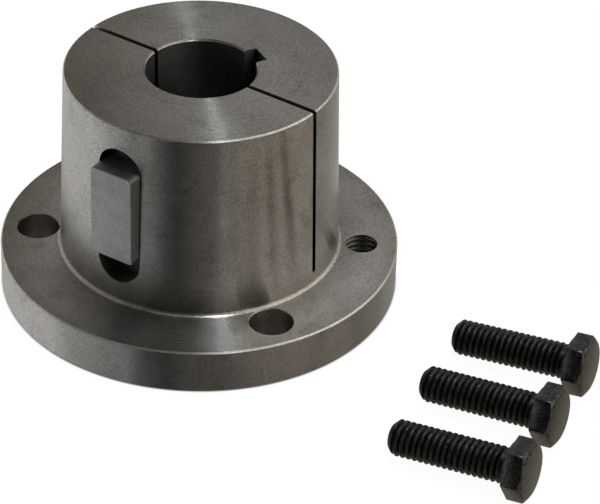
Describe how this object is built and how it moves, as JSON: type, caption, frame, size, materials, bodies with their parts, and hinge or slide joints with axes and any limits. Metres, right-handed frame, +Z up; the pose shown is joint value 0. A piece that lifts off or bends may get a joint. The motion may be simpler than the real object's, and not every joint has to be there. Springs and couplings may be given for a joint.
{
  "type": "quick disconnect bushing",
  "caption": "Flanged steel bushing with a split tapered barrel, keyed bore and loose outside key, with its hex head cap screws laid beside it.",
  "frame": {"origin": "on the bore's axis, in the flange's outer face, which the bushing stands on", "axes": "+Z up the bore to the barrel's small end, -Y through the middle of the keyseat on the taper, +X towards the loose cap screws"},
  "size_m": [0.1717, 0.1048, 0.0633],
  "materials": {
    "turned_steel": "turned, with fine tool marks and a satin shine",
    "key_steel": "cold drawn, matt grey",
    "black_oxide": "black oxide, slightly oily"
  },
  "bodies": {
    "root": {"flanged_bushing": "turned_steel", "barrel_key": "key_steel", "cap_screw_1": "black_oxide", "cap_screw_2": "black_oxide", "cap_screw_3": "black_oxide"}
  },
  "joints": []
}
